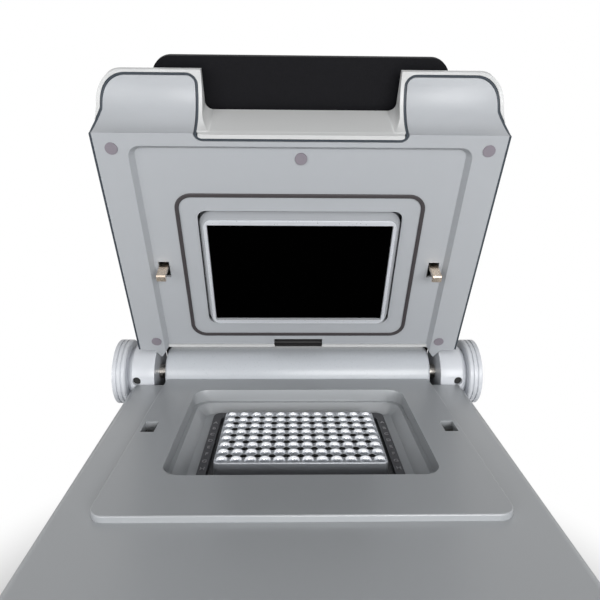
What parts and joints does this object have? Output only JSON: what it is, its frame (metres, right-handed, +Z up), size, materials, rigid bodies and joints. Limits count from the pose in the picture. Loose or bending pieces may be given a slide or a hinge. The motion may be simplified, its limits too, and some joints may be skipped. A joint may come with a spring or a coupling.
{
  "type": "thermal cycler",
  "caption": "Bench thermal cycler with a hinged heated lid, press-down handle, latch hooks, a metal sample block of conical wells and a sloped touch screen.",
  "frame": {"origin": "on the bench plane under the feet, midway between the sides and between the front and back of the base", "axes": "+X to the right seen from the front, +Y to the back, +Z up"},
  "size_m": [0.3034, 0.41, 0.4311],
  "materials": {
    "housing": "light warm grey moulded plastic",
    "deck": "satin grey paint",
    "liner": "smooth mid grey plastic",
    "dark_plastic": "black moulded plastic",
    "rubber": "matt dark rubber",
    "screen": "glossy black panel",
    "block_metal": "bright machined aluminium",
    "barrel_metal": "light warm grey satin paint",
    "steel": "plain steel",
    "heater": "black coated metal",
    "circuit": "green circuit board"
  },
  "bodies": {
    "base": {"base_housing": "housing", "base_tray": "dark_plastic", "rubber_feet": "rubber", "rear_panel": "dark_plastic", "power_inlet": "dark_plastic", "switch_frame": "dark_plastic", "data_ports": "dark_plastic", "front_bezel": "dark_plastic", "touch_glass": "screen", "display_module": "circuit", "usb_port": "dark_plastic", "deck_plate": "deck", "well_bezel": "deck", "label_frame": "dark_plastic", "block_gasket": "rubber", "sample_block": "block_metal", "heat_pump_modules": "circuit", "heat_sink": "block_metal", "sink_posts": "steel", "fan_frames": "dark_plastic", "air_duct": "dark_plastic", "power_supply": "steel", "board_standoffs": "steel", "control_board": "circuit", "hinge_cover": "housing", "hinge_shaft": "steel", "hinge_dampers": "steel", "latch_strikers": "steel"},
    "power_switch": {"switch_rocker": "dark_plastic"},
    "left_rotor": {"fan_rotor_left": "dark_plastic"},
    "right_rotor": {"fan_rotor_right": "dark_plastic"},
    "lid": {"lid_shell": "housing", "lid_liner": "liner", "parting_seal": "rubber", "lid_seal": "rubber", "lid_bumpers": "rubber", "hinge_barrel_left": "barrel_metal", "hinge_barrel_right": "barrel_metal", "hinge_cap_left": "barrel_metal", "hinge_cap_right": "barrel_metal", "handle_pins": "steel", "latch_bearings": "steel", "backing_plate": "steel", "spring_cups": "steel"},
    "handle": {"handle_flap": "dark_plastic"},
    "latch": {"latch_shaft": "steel", "latch_hooks": "steel", "latch_lever": "steel"},
    "link": {"latch_link": "steel"},
    "platen": {"platen_frame": "block_metal", "heater_plate": "heater", "heater_mat": "rubber", "platen_insulation": "rubber", "platen_carrier": "block_metal", "guide_posts": "steel"}
  },
  "joints": [
    {"name": "lid_hinge", "type": "hinge", "parent": "base", "child": "lid", "pos_m": [0, 0.1199, 0.189], "axis": [-1, 0, 0], "range_deg": [-64.24, 15.76]},
    {"name": "handle_press", "type": "hinge", "parent": "lid", "child": "handle", "pos_m": [0, 0.07144, 0.37824], "axis": [-1, 0, 0], "range_deg": [-6, 0], "stiffness_Nm_per_rad": 1, "springref_deg": 11.46},
    {"name": "latch_turn", "type": "hinge", "parent": "lid", "child": "latch", "pos_m": [0, 0.103, 0.29732], "axis": [-1, 0, 0], "range_deg": [-13, 0]},
    {"name": "link_turn", "type": "hinge", "parent": "latch", "child": "link", "pos_m": [0, 0.09773, 0.29478], "axis": [-1, 0, 0], "range_deg": [0, 13]},
    {"name": "platen_float", "type": "slide", "parent": "lid", "child": "platen", "axis": [0, 0.9006, 0.4346], "range_m": [0, 0.004], "stiffness_N_per_m": 4000, "springref_m": -0.006},
    {"name": "left_fan_spin", "type": "hinge", "parent": "base", "child": "left_rotor", "pos_m": [-0.042, 0.0845, 0.1177], "axis": [0, 1, 0], "continuous": true},
    {"name": "right_fan_spin", "type": "hinge", "parent": "base", "child": "right_rotor", "pos_m": [0.042, 0.0845, 0.1177], "axis": [0, 1, 0], "continuous": true},
    {"name": "switch_rock", "type": "hinge", "parent": "base", "child": "power_switch", "pos_m": [-0.0548, 0.201, 0.042], "axis": [1, 0, 0], "range_deg": [-16, 0]}
  ],
  "couplings": [
    {"joint": "latch_turn", "follows": "handle_press", "ratio": 2.1667},
    {"joint": "link_turn", "follows": "handle_press", "ratio": -2.1667}
  ]
}
